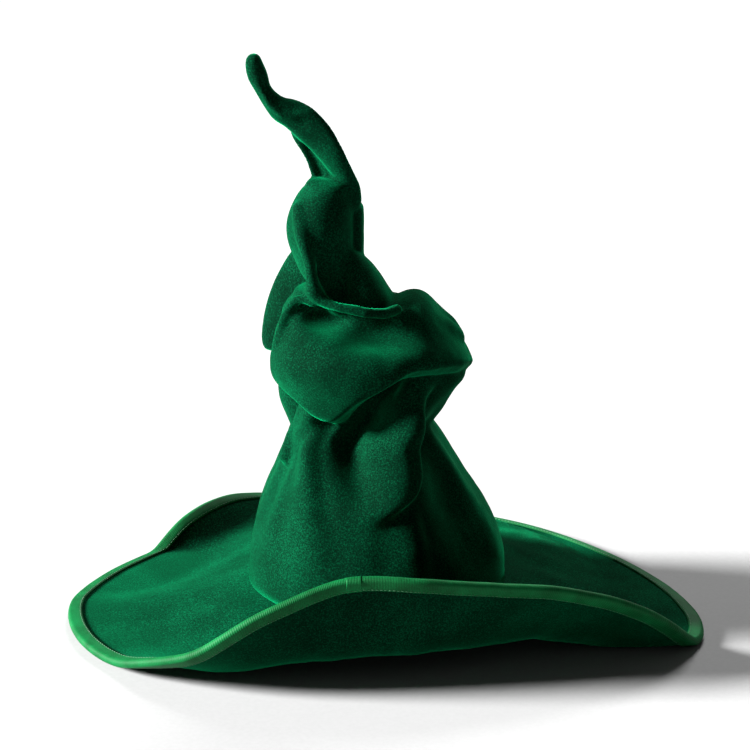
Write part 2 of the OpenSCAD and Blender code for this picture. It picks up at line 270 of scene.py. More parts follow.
class Brim:
    """The brim's mid-surface on a grid of azimuths and steps from the seam outwards."""

    def __init__(self, sides):
        self.sides = sides
        self.az = circle(sides)
        c = on_curve(BRIM, np.degrees(self.az), period=360)
        z0, a0, a1, bend, wide, width = c.T
        step = width / BRIM_STEPS
        rs, zs = [np.full(sides, SEAM_R)], [z0]
        for i in range(BRIM_STEPS):
            s = (i + 0.5) * step
            a = np.radians(a0 + (a1 - a0) * smoothstep((s - bend + wide / 2) / wide))
            rs.append(rs[-1] + step * np.cos(a))
            zs.append(zs[-1] + step * np.sin(a))
        r = np.array(rs)
        z = REST_Z + on_table(np.array(zs) - REST_Z)
        self.points = np.stack([r * np.cos(self.az), r * np.sin(self.az), z], 2)
        self.points += self.ripple()[..., None] * np.array([0, 0, 1.0])
        self.normals = self.find_normals()

    def ripple(self):
        """Soft unevenness of the cloth, none at the seam or where it lies on the table."""
        flat = self.points * [1, 1, 0.4]
        share = np.linspace(0, 1, BRIM_STEPS + 1)[:, None]
        rise = smoothstep(share / 0.3) * smoothstep((self.points[..., 2] - REST_Z - 1) / 12)
        near_edge = 1 - 0.6 * smoothstep((share - 0.75) / 0.25)
        return rise * near_edge * (1.3 * waves(flat, 90, 4) + 0.6 * waves(flat, 38, 9))

    def find_normals(self):
        """Unit normals of the mid-surface, on its upper side."""
        out = np.gradient(self.points, axis=0)
        ahead = np.roll(self.points, -1, axis=1) - np.roll(self.points, 1, axis=1)
        return unit(np.cross(out, ahead))

    def loop(self, step, past, height):
        """A loop round the brim, past mm beyond a step and height mm off the middle."""
        low = int(min(step, BRIM_STEPS - 1))
        f = step - low
        p = (1 - f) * self.points[low] + f * self.points[low + 1]
        n = (1 - f) * self.normals[low] + f * self.normals[low + 1]
        out = unit(self.points[low + 1] - self.points[low])
        return p + past * out + height * n

    def margin(self, height):
        """The edge of the layers inside the crown's seam."""
        p = self.points[0].copy()
        p[:, :2] *= BRIM_IN_R / SEAM_R
        p[:, 2] += height
        return p

    def layer(self, name, low, high):
        """One layer of the brim, from low to high mm off its mid-surface."""
        steps = range(BRIM_STEPS + 1)
        loops = [self.margin(low)] + [self.loop(i, 0, low) for i in steps]
        loops += [self.loop(i, 0, high) for i in reversed(steps)] + [self.margin(high)]
        return outward(ring_object(name, loops))

    def tube(self, name, path, r):
        """A round cord along a closed path."""
        side, over = across(np.roll(path, -1, axis=0) - np.roll(path, 1, axis=0))
        loops = [path + r * (math.cos(a) * side + math.sin(a) * over) for a in circle(8)]
        return outward(ring_object(name, loops))


brim = Brim(480)


# ---- materials

class Look:
    """A material that is built node by node round its one shader."""

    def __init__(self, name):
        self.material = bpy.data.materials.new(name)
        self.material.use_nodes = True
        self.nodes = self.material.node_tree.nodes
        self.shader = self.nodes["Principled BSDF"]

    def node(self, kind, **values):
        made = self.nodes.new("ShaderNode" + kind)
        for socket, value in values.items():
            made.inputs[socket].default_value = value
        return made

    def link(self, source, socket):
        self.material.node_tree.links.new(source, socket)

    def noise(self, scale, detail=3.0, rough=0.5, stretch=None):
        """A noise texture in object space, its scale in features a metre."""
        made = self.node("TexNoise", Scale=scale, Detail=detail, Roughness=rough)
        source = self.node("TexCoord").outputs["Object"]
        if stretch:
            mapping = self.node("Mapping", Scale=stretch)
            self.link(source, mapping.inputs["Vector"])
            source = mapping.outputs["Vector"]
        self.link(source, made.inputs["Vector"])
        return made.outputs["Fac"]

    def ribs(self):
        """Waves across the piece's length, from its "along" coordinate."""
        steps = self.node("UVMap")
        steps.uv_map = "along"
        split = self.node("SeparateXYZ")
        self.link(steps.outputs["UV"], split.inputs["Vector"])
        turns = self.math("MULTIPLY", split.outputs["X"], 2 * math.pi * RIBS_A_STEP)
        return self.math("SINE", turns, 0.0)

    def math(self, operation, first, second):
        """A calculation with two sockets or numbers."""
        made = self.node("Math")
        made.operation = operation
        for socket, value in zip(made.inputs, (first, second)):
            if isinstance(value, (int, float)):
                socket.default_value = value
            else:
                self.link(value, socket)
        return made.outputs[0]

    def weighted(self, *parts):
        """The sum of (source, share) parts."""
        total = None
        for source, share in parts:
            part = self.math("MULTIPLY", source, share)
            total = self.math("ADD", total, part) if total else part
        return total

    def color(self, source, *stops):
        """The base colour, from (place, colour) stops."""
        made = self.node("ValToRGB")
        elements = made.color_ramp.elements
        while len(elements) < len(stops):
            elements.new(0.5)
        for element, (place, color) in zip(elements, stops):
            element.position = place
            element.color = (*color, 1.0)
        self.link(source, made.inputs["Fac"])
        self.link(made.outputs["Color"], self.shader.inputs["Base Color"])

    def bump(self, height, strength, distance):
        made = self.node("Bump", Strength=strength, Distance=distance)
        self.link(height, made.inputs["Height"])
        self.link(made.outputs["Normal"], self.shader.inputs["Normal"])

    def set(self, values):
        for socket, value in values.items():
            self.shader.inputs[socket].default_value = value


def grained(name, grain, dark, light, relief, values, spread=0.15):
    """A material whose one grain runs from dark to light and stands out a little."""
    look = Look(name)
    source = look.noise(*grain)
    look.color(source, (0.5 - spread, dark), (0.5 + spread, light))
    look.set(values)
    look.bump(source, *relief)
    return look.material


def velvet_material(name, lift, sheen):
    """Velvet whose colour is raised by lift, under a pile that shines at the given weight. A lift above 1
    is painted sheen: lighter colour in place of sheen taken off.
    """
    look = Look(name)
    pile = look.noise(1500, 2.0, 0.6)
    brushed = look.noise(24, 2.0, 0.5)
    speckle = look.noise(900, 3.0, 0.7)
    look.color(look.weighted((brushed, 0.22), (speckle, 0.78)),
               (0.36, (0.0001 * lift, 0.004 * lift, 0.0017 * lift)),
               (0.50, (0.0002 * lift, 0.012 * lift, 0.005 * lift)),
               (0.64, (0.0006 * lift, 0.050 * lift, 0.019 * lift)))
    look.set({"Roughness": 0.85, "Specular IOR Level": 0.01, "Sheen Weight": sheen,
              "Sheen Roughness": 0.40, "Sheen Tint": (0.002, 0.34, 0.118, 1.0)})
    look.bump(look.weighted((pile, 0.6), (speckle, 1.0)), 0.4, 0.0005)
    return look.material


def ribbon_material():
    """Grosgrain ribbon, with fine ribs across it."""
    look = Look("grosgrain_ribbon")
    uneven = look.noise(60, 3.0, 0.5)
    yarn = look.noise(1800, 2.0, 0.6)
    ribs = look.ribs()
    look.color(look.weighted((uneven, 0.5), (yarn, 0.5), (ribs, 0.04)),
               (0.38, (0.0008, 0.052, 0.012)), (0.62, (0.0018, 0.120, 0.030)))
    look.set({"Roughness": 0.55, "Specular IOR Level": 0.08, "Sheen Weight": 0.12,
              "Sheen Roughness": 0.4, "Sheen Tint": (0.02, 0.5, 0.16, 1.0)})
    look.bump(look.weighted((yarn, 1.0), (ribs, 0.35)), 0.45, 0.0004)
    return look.material


def satin_material():
    return grained("satin_lining", (900, 2.0, 0.5, (1.0, 1.0, 4.0)), (0.001, 0.045, 0.018),
                   (0.002, 0.085, 0.036), (0.2, 0.0003),
                   {"Roughness": 0.38, "Sheen Weight": 0.2, "Sheen Tint": (0.2, 0.7, 0.4, 1.0)})


def felt_material():
    return grained("stiff_felt", (700, 4.0, 0.7), (0.004, 0.020, 0.010), (0.010, 0.045, 0.024),
                   (0.6, 0.0006), {"Roughness": 0.95, "Specular IOR Level": 0.1})


def thread_material():
    return grained("sewing_thread", (2500, 2.0, 0.5, (1.0, 1.0, 0.4)), (0.001, 0.060, 0.014),
                   (0.003, 0.130, 0.036), (0.4, 0.0002), {"Roughness": 0.5, "Sheen Weight": 0.2})


def label_material():
    return grained("woven_label", (1400, 2.0, 0.5, (1.0, 3.0, 1.0)), (0.62, 0.61, 0.57),
                   (0.80, 0.79, 0.75), (0.3, 0.0002), {"Roughness": 0.6})


def steel_material():
    return grained("drawn_steel_wire", (1200, 3.0, 0.6, (0.2, 0.2, 3.0)), (0.30, 0.30, 0.31),
                   (0.52, 0.52, 0.54), (0.2, 0.0001), {"Metallic": 1.0, "Roughness": 0.35}, 0.2)


def fibre_material():
    return grained("polyester_fibre", (500, 5.0, 0.75), (0.60, 0.60, 0.57), (0.85, 0.85, 0.82),
                   (0.8, 0.001), {"Roughness": 1.0}, 0.2)


velvet = velvet_material("velvet", 1.0, 1.0)
# the brim's top: a lighter copy of the velvet, its raised colour painted sheen in place of the sheen
# weight taken off
brim_velvet_painted_sheen = velvet_material("brim_velvet_painted_sheen", 1.6, 0.28)
ribbon = ribbon_material()
satin = satin_material()
felt = felt_material()
thread = thread_material()
label = label_material()
steel = steel_material()
fibre = fibre_material()


# ---- the crown's shape

VOXEL = 1.6
LOW = np.array([-106.0, -108.0, 8.0])
SHAPE = (136, 136, 268)
BAND = 14.0      # how far from a surface its distances are kept
LIP_TURN = 16.0  # how far the bulge's lower edge turns in


def grid_axes():
    return [LOW[i] + VOXEL * np.arange(SHAPE[i]) for i in range(3)]


def level_set(points, faces):
    """Signed distance to a closed mesh of quads and triangles, as an array."""
    points = ((np.asarray(points, float) - LOW) / VOXEL).astype(np.float32)
    quads = np.array([f for f in faces if len(f) == 4], np.uint32).reshape(-1, 4)
    triangles = np.array([f for f in faces if len(f) == 3], np.uint32).reshape(-1, 3)
    grid = openvdb.FloatGrid.createLevelSetFromPolygons(
        points, triangles=triangles, quads=quads, halfWidth=BAND / VOXEL)
    values = np.zeros(SHAPE, np.float32)
    grid.copyToArray(values)
    return values * VOXEL


def capped(loops):
    """Points and faces of a closed solid through loops, with a point in each end."""
    count = len(loops[0])
    points = np.concatenate(loops + [[loops[0].mean(0)], [loops[-1].mean(0)]])
    faces = grid_faces(len(loops), count, rows_close=False)
    a, b = len(points) - 2, len(points) - 1
    last = (len(loops) - 1) * count
    for k in range(count):
        n = (k + 1) % count
        faces.append((a, n, k))
        faces.append((b, last + k, last + n))
    return points, faces


def stack(stations, sides=96, rings=60, folds=None, lip=None):
    """A solid of level sections [height, centre x, centre y, half width, half depth].
    folds(az, z) pushes it outwards. lip(az) is where its lower edge hangs."""
    az = circle(sides)
    low, high = stations[0][0], stations[-1][0]
    start = lip(az) if lip else np.full(sides, float(low))
    loops = []
    for t in np.linspace(0, 1, rings):
        z = start + (high - start) * t
        cx, cy, a, b = on_curve(stations, z).T
        push = folds(az, z) if folds else 0.0
        if lip:
            push = push - LIP_TURN * (1 - smoothstep(t / 0.09))
        loops.append(np.stack([cx + (a + push) * np.cos(az), cy + (b + push) * np.sin(az), z], 1))
    return level_set(*capped(loops))


def strand(stations, sides=32, rings=50):
    """A flattened tube along [x, y, z, half width, half thickness, roll in degrees].
    With no roll its width lies across the path, seen from the front."""
    table = [(i, *s) for i, s in enumerate(stations)]
    at = np.linspace(0, len(stations) - 1, rings)
    values = on_curve(table, at)
    path = values[:, :3]
    ahead = unit(np.gradient(path, axis=0))
    level = unit(np.cross([0.0, 1.0, 0.0], ahead))
    over = np.cross(ahead, level)
    roll = np.radians(values[:, 5])[:, None]
    wide = level * np.cos(roll) + over * np.sin(roll)
    thick = over * np.cos(roll) - level * np.sin(roll)
    cos, sin = np.cos(circle(sides))[:, None], np.sin(circle(sides))[:, None]
    loops = []
    for i in range(rings):
        end = min(i, rings - 1 - i) / 3.0
        taper = math.sqrt(max(0.0, 1 - (1 - min(1.0, end)) ** 2)) * 0.98 + 0.02
        section = values[i, 3] * cos * wide[i] + values[i, 4] * sin * thick[i]
        loops.append(path[i] + taper * section)
    return level_set(*capped(loops))


def cord_field(points):
    """Signed distance to a chain of balls [x, y, z, r], joined by cones."""
    best = np.full(SHAPE, BAND, np.float32)
    points = np.array(points, float)
    for a, b in zip(points, points[1:]):
        reach = max(a[3], b[3]) + BAND
        near, axes = [], []
        for axis, p, q in zip(grid_axes(), a, b):
            near.append(slice(*np.searchsorted(axis, (min(p, q) - reach, max(p, q) + reach))))
            axes.append(axis[near[-1]] - p)
        x, y, z = np.meshgrid(*axes, indexing="ij")
        d = b[:3] - a[:3]
        t = np.clip((x * d[0] + y * d[1] + z * d[2]) / (d @ d), 0, 1)
        away = np.sqrt((x - t * d[0]) ** 2 + (y - t * d[1]) ** 2 + (z - t * d[2]) ** 2)
        part = best[tuple(near)]
        np.minimum(part, away - (a[3] + (b[3] - a[3]) * t), out=part)
    return best


def ball_field(centre, radii):
    """Distance to an ellipsoid, near its surface."""
    x, y, z = np.meshgrid(*grid_axes(), indexing="ij", sparse=True)
    q = [(v - c) / r for v, c, r in zip((x, y, z), centre, radii)]
    k0 = np.sqrt(q[0] ** 2 + q[1] ** 2 + q[2] ** 2)
    k1 = np.sqrt((q[0] / radii[0]) ** 2 + (q[1] / radii[1]) ** 2 + (q[2] / radii[2]) ** 2)
    return np.clip(k0 * (k0 - 1) / np.maximum(k1, 1e-6), -BAND, BAND).astype(np.float32)


def join(a, b, soft=0.0):
    """Union of two fields, blended over soft mm."""
    if soft <= 0:
        return np.minimum(a, b)
    h = np.maximum(soft - np.abs(a - b), 0) / soft
    return np.minimum(a, b) - h * h * soft / 4


def carve(a, b, soft=0.0):
    """a without b, blended over soft mm."""
    return -join(-a, b, soft)


BASE = [
    (12, 0, 0, 97.6, 97.6), (28, 0, 0, 97.6, 97.6), (50, 0, 0, 96.8, 96.8),
    (74, -1, 0, 91, 91), (96, -3.5, 0, 80.5, 82), (112, -4.5, 0, 72, 75),
    (128, -6, 0, 63.5, 68), (143, -9, 0, 55, 61), (150, -8, 0, 51, 57),
    (165, 3, 0, 50, 53), (180, 10, 0, 51, 49), (192, 18, 0, 49, 42), (204, 15, 0, 30, 30),
]
BULGE = [
    (150, -6, -2, 50, 50), (160, -6, -3, 60, 57), (170, -5, -4, 68, 62),
    (182, -4.5, -4, 71.5, 65), (193, -4.5, -4, 74, 68), (206, -5, -4, 73.5, 69),
    (213, -6, -4, 72, 67), (222, -7, -4, 69, 61), (232, -9, -3, 63, 54),
    (240, -15, -3, 55, 49), (245, -24, -2, 43, 42), (250, -33, -3, 30, 32), (256, -40, -6, 20, 20),
    (260, -40, -8, 8, 8),
]
NECK = [
    (240, -20, -6, 22, 26), (249, -20, -7, 26, 34), (256, -21, -8, 28, 37),
    (262, -24.5, -6, 27.5, 32), (268, -31, -3, 26, 29), (275, -36, 0, 24.5, 28),
    (284, -40, 0, 24, 27), (300, -42, 0, 25, 27), (315, -40.5, 0, 23.5, 25),
    (327, -37.5, 0, 20, 20), (334, -35, -1, 15.5, 14), (338, -35, -1, 8, 6),
]
# Where the bulge's lower edge hangs over the base: [azimuth, height]
LIP = [
    (0, 193), (40, 188), (75, 180), (100, 176), (130, 178), (160, 183), (187, 182), (202, 178),
    (218, 172), (231, 163), (240, 159.5), (247, 162), (254, 170), (263, 180), (276, 190), (286, 199),
    (293, 204), (310, 205), (329, 202), (345, 198),
]
# The drape that falls from the pinch: [height, azimuth of its crest, how far it stands
# out, how far it reaches to the left and to the right in degrees]
DRAPE = [
    (86, 268, 0, 16, 12), (97, 272, 2, 18, 9), (106, 281, 7, 24, 8), (116, 292, 12, 32, 7),
    (130, 299, 18, 38, 8), (150, 303, 21, 38, 9), (170, 295, 18, 34, 10), (190, 284, 10, 26, 14),
    (204, 280, 4, 20, 14),
]
# Long soft folds of the cone, in the same terms
FLUTES = [
    [(48, 240, 0, 24, 20), (62, 239, 2.5, 24, 20), (90, 236, 6, 24, 16), (115, 231, 8, 22, 13),
     (140, 226, 9, 18, 11), (165, 219, 7, 14, 11)],
    [(104, 264, 0, 20, 20), (120, 261, -7, 20, 20), (140, 257, -15, 22, 22), (165, 255, -19, 22, 26),
     (185, 258, -8, 24, 20)],
    [(38, 289, 0, 18, 10), (52, 289, 2.5, 18, 9), (72, 290, 4, 20, 8), (92, 291, 4.5, 20, 8),
     (108, 292, 2, 18, 8)],
    [(40, 322, 0, 32, 28), (58, 322, -6, 32, 28), (90, 322, -8.5, 30, 28), (130, 325, -9, 28, 26),
     (160, 328, -6, 24, 24), (182, 330, 0, 24, 24)],
    [(50, 0, 0, 22, 22), (85, 0, -2.5, 22, 22), (115, 0, -5, 22, 22), (150, 0, -3, 22, 22)],
    [(50, 36, 0, 16, 16), (90, 36, 3, 16, 16), (140, 36, 5, 16, 16)],
    [(50, 74, 0, 14, 18), (90, 72, 5, 14, 18), (140, 70, 7, 14, 18)],
    [(50, 118, 0, 18, 14), (90, 118, 5, 18, 14), (140, 118, 7, 18, 14)],
    [(50, 160, 0, 18, 16), (90, 160, 4, 18, 16), (140, 158, 5, 18, 16)],
    [(50, 196, 0, 14, 12), (90, 196, -3, 14, 12), (140, 196, -4, 14, 12)],
]


def fold_height(az, z, stations):
    """How far a fold stands out: soft to its left, steeper to its right."""
    values = on_curve(stations, np.clip(z, stations[0][0], stations[-1][0]))
    turn = (np.degrees(az) - values[..., 0] + 540) % 360 - 180
    width = np.where(turn < 0, values[..., 2], values[..., 3])
    return values[..., 1] * np.cos(np.clip(turn / width, -1, 1) * math.pi / 2) ** 2


def base_folds(az, z):
    return fold_height(az, z, DRAPE) + sum(fold_height(az, z, f) for f in FLUTES)


def build_base():
    """The cone above the brim, up to the waist, with the drape that falls from the pinch."""
    base = stack(BASE, sides=256, rings=110, folds=base_folds)
    arm = cord_field([(62, -6, 191, 3), (52, -24, 193, 5), (38, -38, 195, 6), (27, -46, 193, 7),
                      (22, -50, 184, 7), (21, -53, 172, 5)])
    base = join(base, arm, 6)
    edge = cord_field([(-50, -34, 180, 5), (-55, -28, 168, 5), (-59, -20, 154, 5), (-63, -14, 142, 6),
                       (-69, -16, 128, 5)])
    base = join(base, edge, 9)
    pocket = cord_field([(-43, -40, 180, 6), (-48, -35, 164, 8), (-52, -28, 150, 8), (-56, -20, 138, 6)])
    base = join(base, pocket, 7)
    behind = strand([(-47, 13, 190, 26, 20, 0), (-51, 12, 172, 24, 22, 0), (-49, 10, 156, 20, 22, 0),
                     (-44, 9, 142, 16, 18, 0)])
    return join(base, behind, 5)


def bulge_folds(az, z):
    """Pleats that run into the pinch on the right."""
    deg = (np.degrees(az) + 540) % 360 - 180
    near = np.exp(-((deg + 12) / 45) ** 2)
    rows = np.sin((z - 193) / (5 + 0.20 * np.abs(deg + 2)) * 1.4)
    tip = 0.4 * np.exp(-(deg / 9) ** 2 - ((z - 194) / 6) ** 2)
    return 1.6 * near * rows * smoothstep((z - 192) / 8) + tip


def build_bulge():
    """The gathered mass that hangs over the waist, pinched to a point on the right."""
    bulge = stack(BULGE, sides=144, rings=90, folds=bulge_folds,
                  lip=lambda az: on_curve(LIP, np.degrees(az), period=360)[:, 0])
    bulge = join(bulge, ball_field((27, -6, 223), (23, 38, 31)), 6)
    bulge = carve(bulge, ball_field((4, -88, 243), (66, 52, 27)), 8)
    bulge = carve(bulge, ball_field((-40, -50, 243), (25, 24, 12)), 7)
    ridge = cord_field([(63.5, -6, 196, 2), (55, -29, 203, 4), (38, -45, 207, 5),
                        (14, -56, 209, 5.5), (-12, -60, 209, 5.5), (-36, -56, 207, 5),
                        (-58, -42, 204, 4), (-72, -18, 200, 3.5)])
    bulge = join(bulge, ridge, 13)
    rim = cord_field([(-74, -4, 192, 3.5), (-74, -14, 207, 4), (-72, -20, 222, 4),
                      (-69, -24, 236, 3.8), (-64, -27, 247, 3.6), (-59, -30, 253, 3.4),
                      (-53, -33, 254.5, 3.2), (-47, -37, 252, 3)])
    bulge = join(bulge, rim, 5)
    groove = cord_field([(-46, -46, 247, 4), (-24, -54, 243, 5), (0, -56, 240, 5), (15, -50, 241, 3)])
    return carve(bulge, groove, 4)


def build_neck():
    """The upright mass above the bulge, keeled at its left and hollow at its right."""
    neck = stack(NECK, rings=80)
    neck = carve(neck, ball_field((22, -72, 270), (88, 60, 46)), 4)
    keel = cord_field([(-58, -14, 318, 4), (-55, -24, 300, 4), (-49, -32, 280, 4), (-46, -38, 263, 4)])
    neck = join(neck, keel, 6)
    lid = cord_field([(-47, -3, 333.5, 5), (-34, -5, 328.5, 5), (-20, -5, 321.5, 4)])
    neck = join(neck, lid, 5)
    skirt = cord_field([(-50, -30, 260, 3), (-43, -38, 256, 3.2), (-28, -45, 252, 3.5), (-8, -47, 248, 4),
                        (6, -42, 246, 4), (15, -33, 247, 4)])
    neck = join(neck, skirt, 13)
    return neck


def build_shoulder():
    """The round mass at the neck's right, which runs down into the bulge."""
    return strand([(-20, -2, 283, 4, 12, 0), (-16, -5, 274, 10, 18, 0), (-12, -7, 263, 15, 24, 0),
                   (-9, -8, 251, 19, 28, 0), (-5, -8, 237, 22, 30, 0), (0, -8, 220, 22, 30, 0)])


def build_peak():
    """The twisted end of the crown: a folded leaf that narrows to a round tip."""
    back = strand([(-27, 9, 302, 14, 5, 38), (-30, 10, 318, 16, 4, 38), (-34, 10, 335, 17, 4, 40),
                   (-40, 9, 348, 15, 3.5, 42), (-46, 6, 360, 12, 3.5, 36), (-53, 3, 371, 10, 4, 20),
                   (-58, 0, 378, 8, 4, 0)])
    front = strand([(-17, 0, 312, 6, 8, 0), (-18.5, -3, 329, 7, 6, -12), (-24.5, -7, 342, 8.5, 4, -22),
                    (-32, -9, 355, 10.5, 4, -24), (-41, -8, 368, 12, 4.5, -18),
                    (-50.5, -6, 378.5, 12.5, 5.5, -8), (-61, -3, 385.5, 11, 6.5, 0),
                    (-71, -2, 390, 9, 7, 0), (-77.8, -1, 396.5, 7, 6.5, 0), (-83, 0, 404, 6.5, 6.5, 0),
                    (-86.2, 0, 413, 7.9, 7, 0), (-89.2, 0, 422, 6.8, 6.5, 0),
                    (-89.8, 0, 430.5, 4.5, 4.5, 0)], rings=70)
    twist = cord_field([(-50, -9, 387, 1.5), (-60, -9.5, 386, 2), (-70, -9, 387, 2.2),
                        (-78, -8, 394, 2.2), (-84, -7, 404, 2), (-88, -6, 413, 1.5)])
    under = cord_field([(-54, -13, 380, 3), (-64, -13, 380, 3.5), (-74, -12, 385, 2.5)])
    front = join(carve(front, under, 3), twist, 2)
    web = strand([(-27, 3, 310, 8, 7, 0), (-28, 3, 326, 8, 7, -10), (-32, 2, 340, 9, 6, -20),
                  (-38, 1, 352, 8, 5, -24), (-45, 0, 364, 7, 4, -18)])
    return join(join(back, web, 2), front, 0.5)


def crown_field():
    """The whole crown: its parts, a flap at the back left and a strip up the neck's right."""
    flap = strand([(-48, 24, 280, 10, 7, 30), (-56, 28, 262, 16, 7, 36), (-65, 29, 242, 18, 7, 38),
                   (-71, 29, 222, 18, 7, 38), (-75, 27, 206, 15, 6, 36), (-76, 24, 197.5, 9, 4.5, 30)])
    strip = strand([(-15.5, 7, 318, 5.5, 11, 0), (-15.5, 7, 305, 6, 12, 0), (-15.5, 6, 288, 6, 12, 0),
                    (-16, 4, 272, 6.5, 12, 0)])
    whole = join(build_base(), join(build_bulge(), build_shoulder(), 4))
    whole = join(whole, flap, 1.5)
    whole = join(whole, build_neck(), 1.5)
    whole = join(whole, strip, 0.8)
    return join(whole, build_peak(), 0.8)


def soften(field):
    """Evens a field out over its neighbouring voxels."""
    for axis in range(3):
        field = 0.5 * field + 0.25 * (np.roll(field, -1, axis) + np.roll(field, 1, axis))
    return field


def field_mesh(field, stride=1):
    """Points and quads of a field's surface, from every stride-th voxel."""
    grid = openvdb.FloatGrid(BAND)
    thin = np.ascontiguousarray(field[::stride, ::stride, ::stride])
    grid.copyFromArray(np.clip(thin, -BAND, BAND).astype(np.float32))
    points, quads = grid.convertToQuads(0.0)
    return points.astype(float) * VOXEL * stride + LOW, quads


def seam_height(az_deg):
    """How high the brim's inner edge lies."""
    return on_curve(BRIM, az_deg, period=360)[..., 0]


def open_bottom(piece, height, foot):
    """Cuts a closed piece off at a height, and carries its edge down to foot(x, y)."""
    with editing(piece) as bm:
        slice_off(bm, height)
        rim = [e for e in bm.edges if len(e.link_faces) == 1]
        made = bmesh.ops.extrude_edge_only(bm, edges=rim)
        for v in (g for g in made["geom"] if isinstance(g, bmesh.types.BMVert)):
            v.co = foot(v.co)
        smooth_outward(bm)


def crown_foot(co):
    """Where the crown's edge stands on the brim, below a point of it."""
    az = math.atan2(co.y, co.x)
    z = float(seam_height(np.array(math.degrees(az) % 360))) + SANDWICH + 0.4
    out = CROWN_FOOT_R / 1000 / math.hypot(co.x, co.y)
    return Vector((co.x * out, co.y * out, (z - SEAT) / 1000))


def crumple(points, strength):
    """Small hollows and creases of handled velvet."""
    fade = smoothstep((points[:, 2] - 32) / 40)
    broad = waves(points * [1, 1, 0.7], 46, 21)
    fine = waves(points, 19, 33)
    return strength * fade * (0.9 * broad + 0.35 * fine)


def build_crown():
    """The crown's velvet, and the field that its inner layers follow."""
    field = soften(crown_field())
    places = np.stack(np.meshgrid(*grid_axes(), indexing="ij"), 3).reshape(-1, 3)
    near = np.abs(field.ravel()) < 6
    push = np.zeros(field.size, np.float32)
    push[near] = crumple(places[near], 0.5)
    field = field - push.reshape(field.shape)
    crown = new_object("crown_velvet_skin", *field_mesh(field))
    open_bottom(crown, CROWN_CUT_Z, crown_foot)
    return crown, field


def thicken(piece, thickness):
    """Gives a surface thickness inwards."""
    modifier = piece.modifiers.new("thickness", "SOLIDIFY")
    modifier.thickness = thickness / 1000
    modifier.offset = -1.0
    modifier.use_rim = True
    return piece


def largest_part(bm):
    """Drops loose scraps from a mesh."""
    left = set(bm.verts)
    parts = []
    while left:
        heads = [left.pop()]
        part = set(heads)
        while heads:
            for edge in heads.pop().link_edges:
                for v in left.intersection(edge.verts):
                    left.discard(v)
                    part.add(v)
                    heads.append(v)
        parts.append(part)
    parts.sort(key=len)
    for part in parts[:-1]:
        bmesh.ops.delete(bm, geom=list(part), context="VERTS")
    smooth_outward(bm)


def inner_layer(name, field, depth, low, high, thickness, seed):
    """A layer of cloth that hangs depth mm inside the crown, between two heights."""
    points, quads = field_mesh(field + depth, 2)
    points = points + 0.35 * waves(points, 24, seed)[:, None] * np.array([1, 1, 0.0])
    layer = new_object(name, points, quads)
    with editing(layer) as bm:
        slice_off(bm, low)
        slice_off(bm, high, above=True)
        largest_part(bm)
    return thicken(layer, thickness)


def build_fill(field):
    """Loose fibre that fills the bulge and the neck, inside the interlining."""
    z = np.arange(SHAPE[2]) * VOXEL + LOW[2]
    ends = np.maximum(FILL_LOW - z, z - FILL_HIGH)[None, None, :]
    inside = join(-(field + FILL_IN), -ends)
    points, quads = field_mesh(-inside, 2)
    points = points + 0.5 * waves(points, 9, 77, 3)[:, None] * np.array([1, 1, 0.4])
    fill = new_object("peak_fill_fibre", points, quads)
    with editing(fill) as bm:
        largest_part(bm)
    return fill


def build_peak_wire():
    """A steel wire up the middle of the peak, its ends turned back on themselves."""
    path = [(-34, 2, 268), (-36, 4, 290), (-33, 3, 310), (-26, 0, 326), (-24, -6, 341),
            (-32, -9, 356), (-42, -8, 369), (-51, -6, 379), (-61, -3, 386), (-72, -2, 391),
            (-79, -1, 397), (-84, 0, 406), (-87, 0, 414), (-85.5, 0, 412), (-82, 0, 403)]
    curve = bpy.data.curves.new("peak_wire_path", "CURVE")
    curve.dimensions = "3D"
    curve.bevel_depth = WIRE_R / 1000
    curve.bevel_resolution = 4
    curve.use_fill_caps = True
    spline = curve.splines.new("NURBS")
    spline.points.add(len(path) - 1)
    for point, place in zip(spline.points, to_row(path)):
        point.co = (*place, 1.0)
    spline.order_u = 4
    spline.use_endpoint_u = True
    spline.resolution_u = 12
    wire = linked("peak_wire_bent", curve)
    mesh = bpy.data.meshes.new_from_object(wire.evaluated_get(bpy.context.evaluated_depsgraph_get()))
    bpy.data.objects.remove(wire)
    mesh.name = "peak_wire_bent"
    return linked("peak_wire_bent", mesh)


crown_skin, crown_values = build_crown()
thicken(crown_skin, VELVET_T)
finish_piece(crown_skin, velvet, "crown_velvet")
interlining = inner_layer("crown_interlining_skin", crown_values, INTERLINING_IN,
                          CROWN_CUT_Z, 290, 1.0, 5)
finish_piece(interlining, felt, "crown_interlining")
lining = inner_layer("crown_lining_skin", crown_values, LINING_IN, 50, 132, 0.4, 6)
finish_piece(lining, satin, "crown_lining")
fill = build_fill(crown_values)
finish_piece(fill, fibre, "peak_fill")
finish_piece(build_peak_wire(), steel, "peak_wire")


# ---- the brim's pieces

top = brim.layer("brim_top_velvet_skin", FELT_T / 2 + GAP, SANDWICH)
# the brim's top gets the lighter velvet copy, with painted sheen in its colour
finish_piece(top, brim_velvet_painted_sheen, "brim_top_velvet")
under = brim.layer("brim_under_velvet_skin", -SANDWICH, -FELT_T / 2 - GAP)
finish_piece(under, velvet, "brim_under_velvet")
board = brim.layer("brim_felt_board", -FELT_T / 2, FELT_T / 2)
finish_piece(board, felt, "brim_felt")


